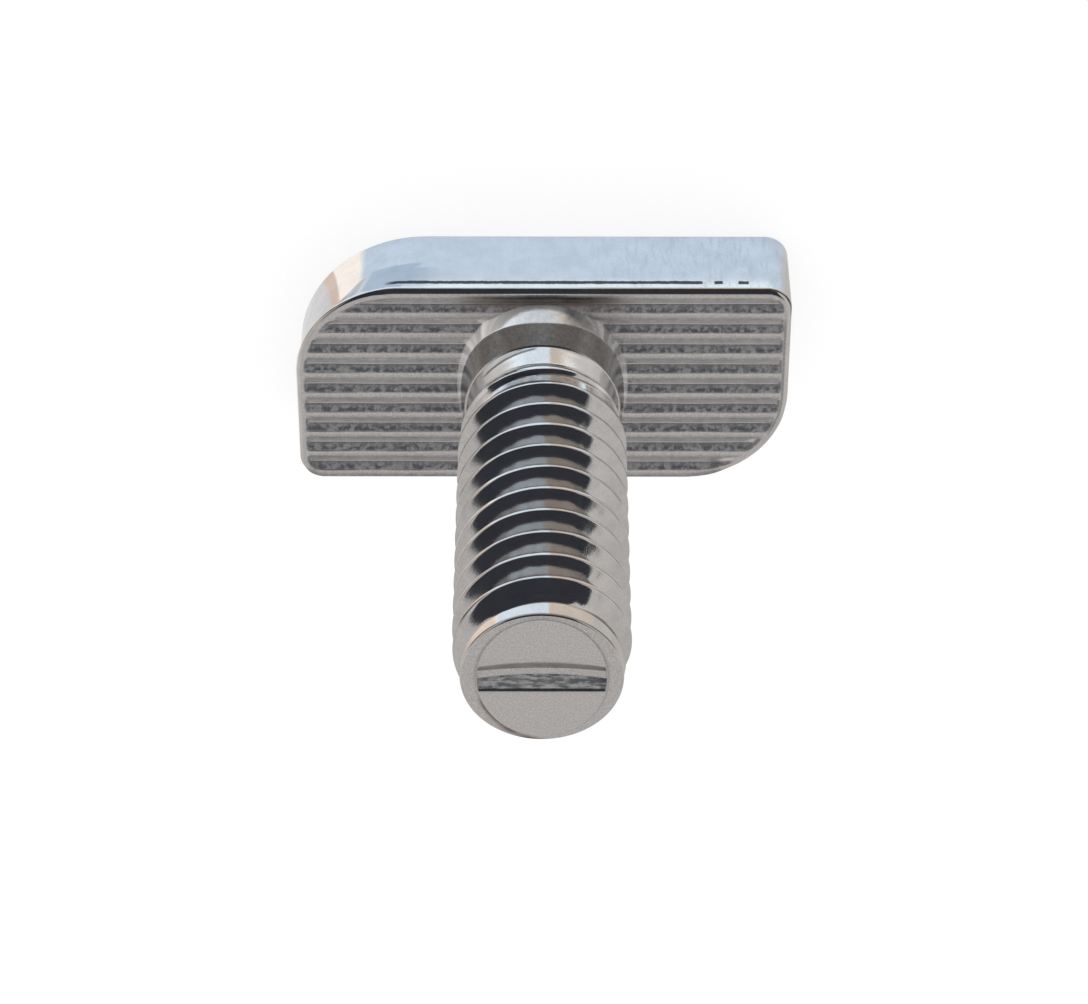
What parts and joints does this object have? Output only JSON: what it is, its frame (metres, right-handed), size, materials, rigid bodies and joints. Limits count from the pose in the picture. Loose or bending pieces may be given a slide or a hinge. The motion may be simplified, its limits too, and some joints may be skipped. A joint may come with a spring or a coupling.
{
  "type": "t-bolt",
  "caption": "Stainless T-bolt with a flat oblong head that turns to lock in a channel, a serrated seat and a right-hand machine thread.",
  "frame": {"origin": "where the shank's axis meets the flat top of the head, which the bolt stands on", "axes": "+Z along the shank from the head to the point, X along the head's length, Y across its width"},
  "size_m": [0.0188, 0.0088, 0.0211],
  "materials": {
    "steel": "bright cold-forged stainless steel, polished thread, satin seat"
  },
  "bodies": {
    "root": {"t_bolt": "steel"}
  },
  "joints": []
}
